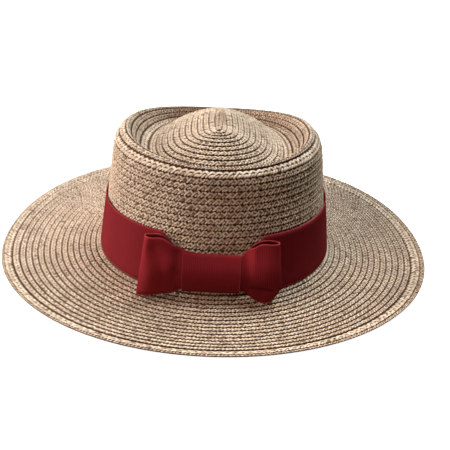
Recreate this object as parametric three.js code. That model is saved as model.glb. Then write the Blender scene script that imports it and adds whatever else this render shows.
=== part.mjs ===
// A wide-brimmed hat sewn from one plaited straw braid. The crown is flat-rimmed, with a sunk
// valley inside the rim and a raised oval dome inside the valley. A ribbon goes round the foot of
// the crown, with a flat bow at the front.
//
// Units are millimetres. The bow faces -Y, +X is on the right of someone who faces it, +Z is up.
// z = 0 is the surface that the brim rests on, and the crown's foot is an oval round the Z axis.

import * as THREE from 'three';

// ---------------------------------------------------------------- driving dimensions

const strawWall = 2.0; // sewn braid, two plies where the rows lap
const ribbonWall = 1.0;
const gap = 0.3; // clearance between pieces that touch on the real hat
const ribbonGap = 0.5; // the same between the ribbon's flat facets and the rounder straw

const footHalfWidth = 85.7; // outer face of the straw where the crown meets the brim
const footHalfLength = 101.7;
const footHeight = 4.0; // top of the brim at that corner, above the rest surface
const collarHeight = 2.7; // the brim's upturned inner edge, hidden by the ribbon

const brimReach = 70.4; // from the crown's foot to the edge of the brim
const ribbonWidth = 38.0;
const ribbonLift = 0.4; // between the ribbon's lower edge and the brim

const longSideFlatness = 0.35; // core share of the brim and of the crown's side, see oval()
const widestCore = 0.8; // the core's greatest half width, as a share of the oval's
const justAboveFoot = 0.01;

const strawAround = 56; // facets round the straw
const ribbonAround = 84;

// Ovals of the crown's outer face, from the tip of the dome to the foot. The height is measured
// from the foot. At the two sides the oval is higher by the side lift, and at the front and back
// it is lower by as much. The core share says how flat the oval's long sides are.
const crownSections = rowsOf(
  ['name', 'halfWidth', 'halfLength', 'height', 'sideLift', 'coreShare', 'steps'],
  [
    ['dome_tip', 2.5, 33.0, 88.9, 0.0, 0.06, 1],
    ['dome_top', 12.0, 42.0, 87.0, 0.0, 0.06, 1],
    ['dome_middle', 24.0, 53.4, 83.2, 0.0, 0.1, 1],
    ['dome_low', 35.0, 63.6, 78.3, 0.0, 0.14, 1],
    ['dome_foot', 44.0, 71.6, 73.0, 0.0, 0.2, 1],
    ['valley', 50.5, 74.8, 70.2, 0.2, 0.25, 1],
    ['inner_wall_low', 56.6, 76.3, 72.6, 0.8, 0.3, 1],
    ['inner_wall_high', 60.6, 77.2, 77.6, 2.2, 0.3, 2],
    ['crest', 66.5, 79.6, 82.0, 3.3, longSideFlatness, 2],
    ['shoulder', 74.6, 87.0, 75.4, 2.0, longSideFlatness, 1],
    ['side_middle', 78.0, 91.6, 56.0, 1.0, longSideFlatness, 1],
    ['ribbon_top', 80.3, 96.3, 38.1, 0.0, longSideFlatness, 2],
    ['foot', footHalfWidth, footHalfLength, 0.0, 0.0, longSideFlatness, 0],
  ],
);

// Ovals of the brim's upper face. The reach is the share of the way from the foot to the edge,
// the height is measured from the foot, and the right lift raises the +X side and lowers the other.
const brimSections = rowsOf(
  ['name', 'reach', 'height', 'sideLift', 'rightLift', 'steps'],
  [
    ['corner', 0.0, 0.0, 0.0, 0.0, 1],
    ['slope', 0.15, -1.6, 0.0, 0.0, 2],
    ['dish', 0.36, -2.3, -0.1, 0.1, 3],
    ['middle', 0.6, -1.1, -0.4, 0.3, 1],
    ['rise', 0.82, 1.5, -0.7, 0.6, 1],
    ['edge', 1.0, 4.4, -1.1, 0.9, 0],
  ],
);

// The ribbon is gathered behind the bow: its edges draw in between these two distances from the
// middle of the front.
const gather = { inner: 19.5, outer: 38.0, topDrop: 12.6, bottomRise: 5.8 };

// The bow. Each loop is a flattened hairpin of ribbon: its front ply runs from the wrap to the
// outer fold and its back ply returns to the wrap, which leans back with the crown.
const bowPly = 0.9;
const wrap = {
  halfWidth: 18.2,
  top: 29.2,
  bottom: 4.4,
  topFront: -103.0, // how far forward its face lies above and below
  bottomFront: -106.2,
  round: 0.4, // how much its sides draw back
  turn: 1.6, // radius at which it turns over the edges
  tuck: 2.4, // how much lower its upper edge lies behind
};

// A row is one upright line across a ply. topX and bottomX are its edges' distances from the
// middle, topY and bottomY say how far forward they lie, and top and bottom are their heights
// above the foot. The right loop's front is creased, and tucked back below its crease.
const leftLoopRows = rowsOf(
  ['name', 'topX', 'bottomX', 'topY', 'bottomY', 'top', 'bottom'],
  [
    ['front_root', 15.0, 15.0, -101.4, -104.2, 25.8, 6.4],
    ['front_edge', 18.8, 18.8, -101.5, -104.5, 27.6, 5.8],
    ['front_in', 23.0, 23.0, -103.0, -105.2, 32.4, 3.4],
    ['front_middle', 30.0, 31.0, -103.2, -106.0, 38.8, 2.0],
    ['front_out', 39.4, 43.4, -102.4, -105.4, 39.5, 0.6],
    ['fold_front', 41.6, 46.8, -101.4, -104.4, 39.6, -0.1],
    ['fold', 42.4, 47.9, -99.8, -103.0, 39.6, -0.4],
    ['fold_back', 41.6, 46.8, -98.2, -101.6, 39.5, -0.4],
    ['back_out', 39.4, 43.4, -97.6, -101.0, 39.3, -0.2],
    ['back_middle', 30.0, 31.0, -98.4, -102.0, 38.0, 1.2],
    ['back_in', 23.0, 23.0, -99.2, -102.4, 31.6, 3.8],
    ['back_edge', 18.8, 18.8, -99.3, -102.3, 26.2, 6.0],
    ['back_root', 15.0, 15.0, -99.5, -102.2, 24.4, 6.6],
  ],
);

const rightLoopRows = rowsOf(
  [
    'name', 'topX', 'creaseX', 'bottomX', 'topY', 'creaseY', 'bottomY', 'top', 'creaseHeight', 'bottom',
  ],
  [
    ['front_root', 15.0, 15.0, 15.0, -101.4, -103.6, -103.6, 25.8, 11.0, 6.6],
    ['front_edge', 18.8, 18.8, 18.8, -101.5, -104.2, -103.9, 27.8, 9.6, 6.0],
    ['front_in', 23.0, 23.0, 23.0, -103.0, -106.0, -104.6, 34.9, 7.8, 2.6],
    ['front_middle', 29.0, 30.0, 29.6, -103.2, -106.8, -104.2, 39.0, 8.1, -0.3],
    ['front_out', 37.2, 39.4, 36.6, -102.4, -106.2, -103.8, 39.2, 8.6, -0.6],
    ['fold_front', 39.8, 42.6, 38.8, -101.4, -105.2, -102.9, 39.0, 8.4, 0.0],
    ['fold', 40.6, 43.6, 39.6, -99.9, -103.8, -101.9, 38.9, 8.2, 0.8],
    ['fold_back', 39.8, 42.6, 39.0, -98.5, -102.4, -100.9, 38.8, 8.2, 1.0],
    ['back_out', 37.2, 39.4, 37.0, -98.0, -101.4, -100.4, 38.6, 8.4, 0.4],
    ['back_middle', 29.0, 30.0, 29.6, -99.0, -101.8, -101.5, 37.8, 8.8, 0.4],
    ['back_in', 23.0, 23.0, 23.0, -99.3, -102.0, -102.0, 33.8, 10.0, 3.4],
    ['back_edge', 18.8, 18.8, 18.8, -99.4, -101.9, -102.0, 26.4, 11.0, 6.2],
    ['back_root', 15.0, 15.0, 15.0, -99.6, -101.8, -102.0, 24.4, 12.4, 6.8],
  ],
);

const colours = {
  straw: { color: 0xb89a78, roughness: 0.75, metalness: 0 },
  ribbon: { color: 0x7a1420, roughness: 0.7, metalness: 0 },
};

// ---------------------------------------------------------------- tables and smooth curves

function rowsOf(columns, rows) {
  return rows.map((row) => Object.fromEntries(columns.map((column, i) => [column, row[i]])));
}

// Slopes of a smooth curve through the values that never overshoots between two of them.
function restrainedSlopes(knots, values) {
  const secants = knots.slice(1).map((knot, i) => (values[i + 1] - values[i]) / (knot - knots[i]));
  return knots.map((_, i) => {
    if (i === 0) return secants[0];
    if (i === secants.length) return secants[i - 1];
    const before = secants[i - 1];
    const after = secants[i];
    return before * after <= 0 ? 0 : (2 * before * after) / (before + after);
  });
}

// A function that reads every column of a table between its rows. Knots are the rows' places.
function smoothTable(rows, knots, columns) {
  const slopes = Object.fromEntries(
    columns.map((column) => [column, restrainedSlopes(knots, rows.map((row) => row[column]))]),
  );
  return (place) => {
    let i = knots.findIndex((knot, k) => k > 0 && place <= knot) - 1;
    if (i < 0) i = knots.length - 2;
    const span = knots[i + 1] - knots[i];
    const t = (place - knots[i]) / span;
    const t2 = t * t;
    const t3 = t2 * t;
    return Object.fromEntries(
      columns.map((column) => [
        column,
        (2 * t3 - 3 * t2 + 1) * rows[i][column] +
          (t3 - 2 * t2 + t) * span * slopes[column][i] +
          (3 * t2 - 2 * t3) * rows[i + 1][column] +
          (t3 - t2) * span * slopes[column][i + 1],
      ]),
    );
  };
}

// The places at which rings are made: each table row, and its steps between it and the next.
function ringPlaces(rows, knots) {
  const places = [];
  rows.slice(0, -1).forEach((row, i) => {
    for (let step = 0; step < row.steps; step++) {
      places.push(knots[i] + ((knots[i + 1] - knots[i]) * step) / row.steps);
    }
  });
  places.push(knots[knots.length - 1]);
  return places;
}

// ---------------------------------------------------------------- ovals

// An oval at a constant distance from a slim ellipse, as rows of braid sewn side by side make it.
// Its points are evenly spaced and run from +X over +Y round to the start.
function oval(halfWidth, halfLength, coreShare, around) {
  const coreWidth = Math.min(coreShare * (halfLength - halfWidth), widestCore * halfWidth);
  const coreLength = coreWidth + halfLength - halfWidth;
  const offset = halfWidth - coreWidth;
  const at = (angle) => {
    const c = Math.cos(angle);
    const s = Math.sin(angle);
    const spread = Math.hypot(coreWidth * c, coreLength * s);
    return new THREE.Vector2(
      ((coreWidth * coreWidth) / spread + offset) * c,
      ((coreLength * coreLength) / spread + offset) * s,
    );
  };
  const fineSteps = 3600;
  const fine = Array.from({ length: fineSteps + 1 }, (_, i) => at((2 * Math.PI * i) / fineSteps));
  const lengths = [0];
  for (let i = 1; i < fine.length; i++) {
    lengths.push(lengths[i - 1] + fine[i].distanceTo(fine[i - 1]));
  }
  const points = [];
  let i = 0;
  for (let k = 0; k < around; k++) {
    const target = (lengths[fineSteps] * k) / around;
    while (lengths[i + 1] < target) i++;
    const share = (target - lengths[i]) / (lengths[i + 1] - lengths[i]);
    points.push(fine[i].clone().lerp(fine[i + 1], share));
  }
  return points;
}

// One ring of an oval section in space.
function ring(section, around) {
  return oval(section.halfWidth, section.halfLength, section.coreShare, around).map((point) => {
    const angle = Math.atan2(point.y / section.halfLength, point.x / section.halfWidth);
    const lift =
      section.sideLift * Math.cos(2 * angle) + (section.rightLift ?? 0) * Math.cos(angle);
    return new THREE.Vector3(point.x, point.y, footHeight + section.height + lift);
  });
}

// ---------------------------------------------------------------- meshes from grids of points

function closedMesh(name, look, points, triangles) {
  const geometry = new THREE.BufferGeometry();
  geometry.setAttribute(
    'position',
    new THREE.Float32BufferAttribute(points.flatMap((point) => [point.x, point.y, point.z]), 3),
  );
  geometry.setIndex(triangles.flat());
  geometry.computeVertexNormals();
  const mesh = new THREE.Mesh(geometry, new THREE.MeshStandardMaterial(look));
  mesh.name = name;
  return mesh;
}

// Outward normals of a grid of rings. Rings run from +X over +Y, and later rings lie further out
// or further down.
function gridNormals(rings) {
  const around = rings[0].length;
  return rings.map((points, i) =>
    points.map((_, k) => {
      const before = rings[Math.max(i - 1, 0)][k];
      const after = rings[Math.min(i + 1, rings.length - 1)][k];
      const left = points[(k + around - 1) % around];
      const right = points[(k + 1) % around];
      return after.clone().sub(before).cross(right.clone().sub(left)).normalize();
    }),
  );
}

function offsetGrid(rings, distance) {
  const normals = gridNormals(rings);
  return rings.map((points, i) =>
    points.map((point, k) => point.clone().addScaledVector(normals[i][k], distance)),
  );
}

// Triangles between neighbouring rings of a grid, facing the side that gridNormals points to.
function gridTriangles(ringCount, around, first) {
  const triangles = [];
  for (let i = 0; i < ringCount - 1; i++) {
    for (let k = 0; k < around; k++) {
      const next = (k + 1) % around;
      const a = first + i * around + k;
      const b = first + i * around + next;
      const c = first + (i + 1) * around + k;
      const d = first + (i + 1) * around + next;
      triangles.push([a, c, d], [a, d, b]);
    }
  }
  return triangles;
}

// A strip of triangles that closes an oval ring, from its +Y end to its -Y end.
function capTriangles(around, first, upward) {
  const top = around / 4;
  const triangles = [];
  for (let step = 0; step < around / 2; step++) {
    const right = (top - step + around) % around;
    const rightNext = (top - step - 1 + around) % around;
    const left = (top + step) % around;
    const leftNext = (top + step + 1) % around;
    if (step > 0) triangles.push([left, leftNext, right]);
    if (step < around / 2 - 1) triangles.push([right, leftNext, rightNext]);
  }
  return triangles.map(([a, b, c]) =>
    upward ? [first + a, first + b, first + c] : [first + a, first + c, first + b],
  );
}

// ---------------------------------------------------------------- straw

const crownColumns = ['halfWidth', 'halfLength', 'height', 'sideLift', 'coreShare'];
const crownKnots = crownSections.reduce((knots, row, i) => {
  if (i === 0) return [0];
  const previous = crownSections[i - 1];
  const step = Math.hypot(row.halfWidth - previous.halfWidth, row.height - previous.height);
  return [...knots, knots[i - 1] + step];
}, []);
const crownAt = smoothTable(crownSections, crownKnots, crownColumns);

function crownMesh() {
  const places = ringPlaces(crownSections, crownKnots);
  const sections = places.map(crownAt);
  const butt = collarHeight + gap;
  sections[sections.length - 1] = crownAt(placeAtHeight(butt));
  const outer = sections.map((section) => ring(section, strawAround));
  const inner = offsetGrid(outer, -strawWall);
  inner[inner.length - 1].forEach((point) => point.setZ(footHeight + butt));
  const around = strawAround;
  const innerFirst = outer.length * around;
  const outerFoot = innerFirst - around;
  const innerFoot = 2 * innerFirst - around;
  const foot = [];
  for (let k = 0; k < around; k++) {
    const next = (k + 1) % around;
    foot.push([outerFoot + k, innerFoot + k, innerFoot + next]);
    foot.push([outerFoot + k, innerFoot + next, outerFoot + next]);
  }
  const triangles = [
    ...gridTriangles(outer.length, around, 0),
    ...gridTriangles(inner.length, around, innerFirst).map(([a, b, c]) => [a, c, b]),
    ...capTriangles(around, 0, true),
    ...capTriangles(around, innerFirst, false),
    ...foot,
  ];
  return closedMesh('crown', colours.straw, [...outer.flat(), ...inner.flat()], triangles);
}

// The place on the crown's profile, near its foot, that is so high above the foot.
function placeAtHeight(height) {
  let low = crownKnots[crownKnots.length - 1];
  let high = crownKnots[crownKnots.length - 3];
  for (let i = 0; i < 40; i++) {
    const middle = (low + high) / 2;
    if (crownAt(middle).height < height) low = middle;
    else high = middle;
  }
  return (low + high) / 2;
}

// The brim's section runs round a closed outline: up the collar's inner face, over the collar,
// down to the corner, out along the upper face, round the edge and back along the underside.
function brimMesh() {
  const knots = brimSections.map((row) => row.reach);
  const brimAt = smoothTable(brimSections, knots, ['height', 'sideLift', 'rightLift']);
  const upperFace = ringPlaces(brimSections, knots).map((reach) =>
    ring(
      {
        halfWidth: footHalfWidth + reach * brimReach,
        halfLength: footHalfLength + reach * brimReach,
        coreShare: longSideFlatness,
        ...brimAt(reach),
      },
      strawAround,
    ),
  );
  const underside = offsetGrid(upperFace, -strawWall).slice(1);
  underside.forEach((points) => points.forEach((point) => point.setZ(Math.max(point.z, 0))));
  const collar = [crownAt(placeAtHeight(collarHeight)), crownAt(placeAtHeight(justAboveFoot))].map(
    (section) => ring(section, strawAround),
  );
  const collarInner = offsetGrid(collar, -strawWall);
  collarInner[0].forEach((point) => point.setZ(footHeight + collarHeight));
  const rings = [collar[0], ...upperFace, ...underside.reverse(), collarInner[1], collarInner[0]];
  rings[rings.length - 2].forEach((point) => point.setZ(footHeight - strawWall / 2));
  const around = strawAround;
  const triangles = gridTriangles(rings.length, around, 0);
  const last = (rings.length - 1) * around;
  for (let k = 0; k < around; k++) {
    const next = (k + 1) % around;
    triangles.push([last + k, k, next], [last + k, next, last + next]);
  }
  return closedMesh('brim', colours.straw, rings.flat(), triangles);
}

// ---------------------------------------------------------------- ribbon

// How far the ribbon is gathered at this distance from the middle of the front, from 0 to 1.
function gathered(x) {
  return 1 - THREE.MathUtils.smoothstep(Math.abs(x), gather.inner, gather.outer);
}

// A point beside the straw, at a height above the foot, on the upright line through one facet
// corner of the ribbon.
function besideStraw(k, height, distance) {
  const step = 0.5;
  const around = ribbonAround;
  const here = ring(crownAt(placeAtHeight(height)), around);
  const below = ring(crownAt(placeAtHeight(Math.max(height - step, justAboveFoot))), around);
  const above = ring(crownAt(placeAtHeight(height + step)), around);
  const down = below[k].clone().sub(above[k]);
  const along = here[(k + 1) % around].clone().sub(here[(k + around - 1) % around]);
  return here[k].clone().addScaledVector(down.cross(along).normalize(), distance);
}

function bandMesh() {
  const plain = ring(crownAt(placeAtHeight(ribbonWidth / 2)), ribbonAround);
  const rings = [[], [], [], []];
  for (let k = 0; k < ribbonAround; k++) {
    const share = plain[k].y < 0 ? gathered(plain[k].x) : 0;
    const top = ribbonWidth - gather.topDrop * share;
    const bottom = ribbonLift + gather.bottomRise * share;
    rings[0].push(besideStraw(k, top, ribbonGap));
    rings[1].push(besideStraw(k, top, ribbonGap + ribbonWall));
    rings[2].push(besideStraw(k, bottom, ribbonGap + ribbonWall));
    rings[3].push(besideStraw(k, bottom, ribbonGap));
  }
  const around = ribbonAround;
  const triangles = gridTriangles(4, around, 0);
  for (let k = 0; k < around; k++) {
    const next = (k + 1) % around;
    triangles.push([3 * around + k, k, next], [3 * around + k, next, 3 * around + next]);
  }
  return closedMesh('hat_band', colours.ribbon, rings.flat(), triangles);
}

// A strip of ribbon with thickness. Rows are upright lines of points, top to bottom, and the ply
// lies on the left of the way along the rows, seen from above.
function stripMesh(name, rows, thickness) {
  const count = rows.length;
  const high = rows[0].length;
  const normalAt = (i, j) => {
    const along = rows[Math.min(i + 1, count - 1)][j].clone().sub(rows[Math.max(i - 1, 0)][j]);
    const down = rows[i][Math.min(j + 1, high - 1)].clone().sub(rows[i][Math.max(j - 1, 0)]);
    return along.cross(down).normalize();
  };
  const front = rows.flat();
  const back = rows.flatMap((row, i) =>
    row.map((point, j) => point.clone().addScaledVector(normalAt(i, j), -thickness)),
  );
  const at = (i, j) => i * high + j;
  const size = front.length;
  const triangles = [];
  const quad = (a, b, c, d) => triangles.push([a, b, c], [a, c, d]);
  for (let i = 0; i < count - 1; i++) {
    for (let j = 0; j < high - 1; j++) {
      quad(at(i, j), at(i + 1, j), at(i + 1, j + 1), at(i, j + 1));
      quad(size + at(i, j), size + at(i, j + 1), size + at(i + 1, j + 1), size + at(i + 1, j));
    }
    quad(at(i + 1, 0), at(i, 0), size + at(i, 0), size + at(i + 1, 0));
    const low = high - 1;
    quad(at(i, low), at(i + 1, low), size + at(i + 1, low), size + at(i, low));
  }
  for (let j = 0; j < high - 1; j++) {
    quad(at(0, j), at(0, j + 1), size + at(0, j + 1), size + at(0, j));
    const end = count - 1;
    quad(at(end, j + 1), at(end, j), size + at(end, j), size + at(end, j + 1));
  }
  return closedMesh(name, colours.ribbon, [...front, ...back], triangles);
}

// Upright lines of a loop. A row with a crease has its lower part turned at the crease, and a
// plain row has an extra point at the same share of the way down.
function loopLines(rows, side) {
  const plainShare = 0.7;
  return rows.map((row) => {
    const at = (x, y, height) => new THREE.Vector3(side * x, y, footHeight + height);
    const top = at(row.topX, row.topY, row.top);
    const bottom = at(row.bottomX, row.bottomY, row.bottom);
    const crease =
      row.creaseY === undefined
        ? top.clone().lerp(bottom, plainShare)
        : at(row.creaseX, row.creaseY, row.creaseHeight);
    return [top, top.clone().lerp(crease, 0.5), crease, bottom];
  });
}

function loopMesh(name, rows, side) {
  const lines = loopLines(rows, side);
  return stripMesh(name, side < 0 ? lines : lines.reverse(), bowPly);
}

// The wrap covers the front of the bow's middle and turns over its upper and lower edges, where
// it is tucked in against the straw.
function wrapMesh() {
  const steps = 6;
  const middle = (wrap.top + wrap.bottom) / 2;
  const lines = [];
  for (let i = 0; i <= steps; i++) {
    const across = 1 - (2 * i) / steps;
    const x = wrap.halfWidth * across;
    const round = wrap.round * across * across;
    const topY = wrap.topFront + round;
    const bottomY = wrap.bottomFront + round;
    const at = (y, height) => new THREE.Vector3(x, y, footHeight + height);
    lines.push([
      at(strawFrontY(x, wrap.top - wrap.tuck) - gap, wrap.top - wrap.tuck),
      at(topY + wrap.turn, wrap.top),
      at(topY, wrap.top - wrap.turn),
      at((topY + bottomY) / 2, middle),
      at(bottomY, wrap.bottom + wrap.turn),
      at(bottomY + wrap.turn, wrap.bottom),
      at(strawFrontY(x, wrap.bottom) - gap, wrap.bottom),
    ]);
  }
  return stripMesh('bow_wrap', lines, bowPly);
}

// How far forward the straw's outer face lies, at a distance from the middle of the front and a
// height above the foot.
function strawFrontY(x, height) {
  const points = ring(crownAt(placeAtHeight(height)), ribbonAround);
  const front = points.slice(ribbonAround / 2).filter((point) => point.y < 0);
  const i = front.findIndex((point, k) => k > 0 && point.x >= x);
  const share = (x - front[i - 1].x) / (front[i].x - front[i - 1].x);
  return THREE.MathUtils.lerp(front[i - 1].y, front[i].y, share);
}

// ---------------------------------------------------------------- the hat

const hat = new THREE.Group();
hat.add(crownMesh());
hat.add(brimMesh());
hat.add(bandMesh());
hat.add(loopMesh('bow_loop_left', leftLoopRows, -1));
hat.add(loopMesh('bow_loop_right', rightLoopRows, 1));
hat.add(wrapMesh());

export default hat;
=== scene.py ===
"""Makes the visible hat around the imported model: sewn straw braid, ribbon band, bow and stage.

Lengths in the tables are millimetres, with heights above the foot of the crown. Every mesh is
made in metres in the frame's own axes: the bow faces -Y and +Z is up.
"""

import math

import bpy
import numpy as np
from bpy.props import FloatProperty, FloatVectorProperty, IntProperty, PointerProperty
from bpy.types import Operator, Panel, PropertyGroup
from mathutils import Matrix, Vector


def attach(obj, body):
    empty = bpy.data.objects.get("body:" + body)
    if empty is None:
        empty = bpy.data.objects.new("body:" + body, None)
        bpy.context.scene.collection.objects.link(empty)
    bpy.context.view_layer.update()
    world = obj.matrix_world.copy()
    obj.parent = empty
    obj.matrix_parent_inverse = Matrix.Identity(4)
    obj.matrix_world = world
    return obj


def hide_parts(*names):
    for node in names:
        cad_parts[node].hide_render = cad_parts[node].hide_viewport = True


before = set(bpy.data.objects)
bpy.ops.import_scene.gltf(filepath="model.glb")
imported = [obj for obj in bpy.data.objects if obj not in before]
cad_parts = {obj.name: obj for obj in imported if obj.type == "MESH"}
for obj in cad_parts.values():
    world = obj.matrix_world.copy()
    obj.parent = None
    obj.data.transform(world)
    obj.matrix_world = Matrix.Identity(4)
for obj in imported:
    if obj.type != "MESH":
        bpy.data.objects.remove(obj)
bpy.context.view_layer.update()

bl_info = {
    "name": "Telescope-crown straw hat",
    "version": (1, 0, 0),
    "blender": (4, 5, 0),
    "location": "3D View > Sidebar > Straw hat",
    "description": "Builds a sewn braid hat with a ribbon band and a flat bow",
    "category": "Add Mesh",
}

MM = 0.001

# ---------------------------------------------------------------- the hat's shape

FOOT_HALF_WIDTH = 85.7  # outer face of the straw where the crown meets the brim
FOOT_HALF_LENGTH = 101.7
FOOT_HEIGHT = 4.0  # top of the brim at that corner, above the surface it rests on
BRIM_REACH = 70.4
LONG_SIDE_FLATNESS = 0.35
WIDEST_CORE = 0.8

# Ovals of the crown's outer face: half width, half length, height, side lift and core share.
CROWN_SECTIONS = {
    "dome_seam": (0.02, 30.5, 89.2, 0.0, 0.06),
    "dome_tip": (2.5, 33.0, 88.9, 0.0, 0.06),
    "dome_top": (12.0, 42.0, 87.0, 0.0, 0.06),
    "dome_middle": (24.0, 53.4, 83.2, 0.0, 0.1),
    "dome_low": (35.0, 63.6, 78.3, 0.0, 0.14),
    "dome_foot": (44.0, 71.6, 73.0, 0.0, 0.2),
    "valley": (50.5, 74.8, 70.2, 0.2, 0.25),
    "inner_wall_low": (56.6, 76.3, 72.6, 0.8, 0.3),
    "inner_wall_high": (60.6, 77.2, 77.6, 2.2, 0.3),
    "crest": (66.5, 79.6, 82.0, 3.3, LONG_SIDE_FLATNESS),
    "shoulder": (74.6, 87.0, 75.4, 2.0, LONG_SIDE_FLATNESS),
    "side_middle": (78.0, 91.6, 56.0, 1.0, LONG_SIDE_FLATNESS),
    "ribbon_top": (80.3, 96.3, 38.1, 0.0, LONG_SIDE_FLATNESS),
    "foot": (FOOT_HALF_WIDTH, FOOT_HALF_LENGTH, 0.0, 0.0, LONG_SIDE_FLATNESS),
}

# Ovals of the brim's upper face: share of the reach, height, side lift and right lift.
BRIM_SECTIONS = {
    "corner": (0.0, 0.0, 0.0, 0.0),
    "slope": (0.15, -1.6, 0.0, 0.0),
    "dish": (0.36, -2.3, -0.1, 0.1),
    "middle": (0.6, -1.1, -0.4, 0.3),
    "rise": (0.82, 1.5, -0.7, 0.6),
    "edge": (1.0, 4.4, -1.1, 0.9),
}

# How far each turn of braid moves on along the surface: zone, turns, step.
BRAID_START = 3.0
BRAID_ZONES = (
    ("start", 1, 4.6),
    ("dome", 9, 4.7),
    ("inner wall", 5, 4.28),
    ("crest", 1, 4.9),
    ("shoulder", 1, 6.8),
    ("side", 18, 4.23),
    ("brim", 16, 4.15),
    ("edge", 1, 4.9),
)

BRAID_STOP = 0.01  # how far short of the spiral's end the braid stops, in turns
SIDE_TURNS_SHOWN = 12.3  # turns of the side with straws, down to where the ribbon hides them
FOOT_TURNS_SHOWN = 1.5  # turns with straws at the crown's foot, below the ribbon's waist
INNER_BRIM_TURNS = 9  # turns of the brim in the first of its two pieces of plait
ROW_OVERLAP = 2.0  # the least that a row laps the one inside it
SEAM_EDGE = 0.3  # the least distance of a row's outer edge from the dome's seam
FLOOR_GAP = 0.03  # the least height of the straw above the floor
CORE_DEPTH = 0.8  # of the core below the hat's face, as a share of a straw's rise
CORE_SPACING = 6.0  # along the rows, between the sections of the core
LINE_SPACING = 3.0  # and between the points of the lines that carry the straws

RIBBON_WIDTH = 38.0
RIBBON_LIFT = 0.4
RIBBON_GAP = 0.9  # from the crown's face to the back of the ribbon
FRONT_SHARE = 0.75  # the middle of the hat's front, as a share of the way round
BAND_POINTS = 13  # across the band
RIBBON_JOIN = 0.2  # half the gap where the band's ends meet behind the bow
SLACK_WAVES = ((0.25, 3, 1.0, 0.0), (0.15, 7, 2.0, 1.5))  # depth, waves round, start and slant
PAINTED_LIGHT_HEIGHTS = (13.0, 28.0)  # where the ribbon's low tone ends and its high one begins
# Each piece's low and high painted light, as a factor on the ribbon's colour: painted shade low on
# the bow and over the whole band, a painted highlight high on the bow; and that of the reverse,
# painted shade inside the loops and behind the band and wrap.
PAINTED_LIGHT_TONES = {"band": (0.84, 0.84), "left": (0.95, 1.3), "right": (0.68, 1.35), "wrap": (0.85, 1.3)}
REVERSE_PAINTED_SHADE = 0.4
GATHER = {"inner": 19.5, "outer": 34.0, "top_drop": 12.6, "bottom_rise": 5.8}

BOW_WRAP = {"middle": -0.8, "half_width": 18.2, "top": 28.6, "corner": 2.0, "bottom": 2.0, "tuck": 2.4}

# The front of the bow at its wrap: height and distance forward.
BOW_FRONT = (
    (2.2, -102.6), (3.3, -103.7), (6.4, -105.2), (12.0, -107.2),
    (16.0, -107.7), (20.0, -106.6), (24.0, -104.2), (31.0, -99.4),
)

# Upright lines across the left loop, from the wrap round the fold and back: distance from the
# middle, distance forward and height, at the upper edge and at the lower edge.
LEFT_LOOP = (
    ((15.0, -101.4, 27.6), (15.0, -104.2, 6.0)),
    ((18.8, -101.5, 30.2), (18.8, -104.5, 5.2)),
    ((23.0, -102.8, 33.6), (23.0, -105.6, 3.4)),
    ((30.0, -103.4, 38.8), (31.0, -106.4, 2.0)),
    ((37.8, -104.0, 39.4), (42.2, -107.0, 0.8)),
    ((40.6, -102.8, 39.6), (45.6, -105.6, 0.0)),
    ((42.4, -100.4, 39.7), (47.9, -103.4, -0.4)),
    ((42.2, -98.8, 39.8), (47.2, -102.0, -0.4)),
    ((39.4, -98.2, 40.0), (43.4, -101.2, -0.2)),
    ((30.0, -99.0, 38.9), (31.0, -102.0, 1.2)),
    ((23.0, -99.2, 31.6), (23.0, -102.4, 3.8)),
    ((18.8, -99.3, 26.2), (18.8, -102.3, 6.0)),
    ((15.0, -99.5, 24.4), (15.0, -102.2, 6.6)),
)

# The right loop's lines have their crease between the two edges.
RIGHT_LOOP = (
    ((15.0, -101.4, 26.6), (15.0, -103.6, 11.0), (15.0, -103.6, 6.2)),
    ((18.8, -101.5, 29.4), (18.8, -104.2, 9.6), (18.8, -104.4, 5.4)),
    ((23.0, -102.6, 33.8), (23.0, -105.0, 8.0), (23.0, -105.8, 2.8)),
    ((29.0, -102.8, 37.7), (30.0, -105.0, 8.1), (29.6, -106.6, -0.3)),
    ((37.0, -103.0, 38.1), (39.2, -105.6, 8.6), (36.6, -106.2, -0.6)),
    ((39.8, -101.8, 38.2), (42.6, -105.0, 8.4), (38.8, -104.6, 0.0)),
    ((40.6, -100.2, 38.2), (43.6, -103.6, 8.2), (39.6, -102.9, 0.8)),
    ((39.9, -98.8, 38.3), (42.6, -102.2, 8.2), (39.0, -101.4, 1.0)),
    ((37.2, -98.0, 38.5), (39.4, -101.4, 8.4), (37.0, -100.6, 0.4)),
    ((29.0, -98.6, 38.1), (30.0, -101.8, 8.8), (29.6, -101.5, 0.4)),
    ((23.0, -99.3, 33.8), (23.0, -102.0, 10.0), (23.0, -102.0, 3.4)),
    ((18.8, -99.4, 26.4), (18.8, -101.9, 11.0), (18.8, -102.0, 6.2)),
    ((15.0, -99.6, 24.4), (15.0, -101.8, 12.4), (15.0, -102.0, 6.8)),
)

# Where a loop's front puffs out or sinks in: distance from the middle, height, reach sideways,
# reach upwards and how far.
LEFT_PUFFS = (
    (26.0, 22.0, 6.0, 7.0, 3.2),
    (36.0, 33.0, 4.0, 6.0, -1.8),
    (37.0, 14.0, 8.0, 8.0, 2.4),
    (32.0, -1.0, 16.0, 3.0, -1.3),
)
RIGHT_PUFFS = ((31.0, 19.0, 11.0, 10.0, 4.0), (30.0, 8.4, 12.0, 1.3, -2.3))

PLAIN_FILL = (12,)  # steps between the lines of points of a loop without a crease
CREASED_FILL = (26, 9)  # and of one with a crease
LOOP_LEAN = 0.8  # how far the middle of a loop's front leans out
FOLD_REACH = 6.0  # from the fold to where the front leans out in full
LOOP_FREE = 19.0  # how far from the middle a loop comes out from under the wrap
FREE_REACH = 7.0  # and how much farther it has its own shape
UNDER_WRAP = 0.75  # depth of the loops below the wrap's face


# Soft lights round the hat: name, distance to the right, back and up, breadth, power and colour.
SOFT_BOXES = (
    ("left box", (-0.7, 0.0, 0.22), 0.35, 6.1, (1.0, 0.97, 0.92)),
    ("front left box", (-0.45, -0.42, 0.55), 0.3, 2.2, (1.0, 0.79, 0.72)),
)

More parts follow.
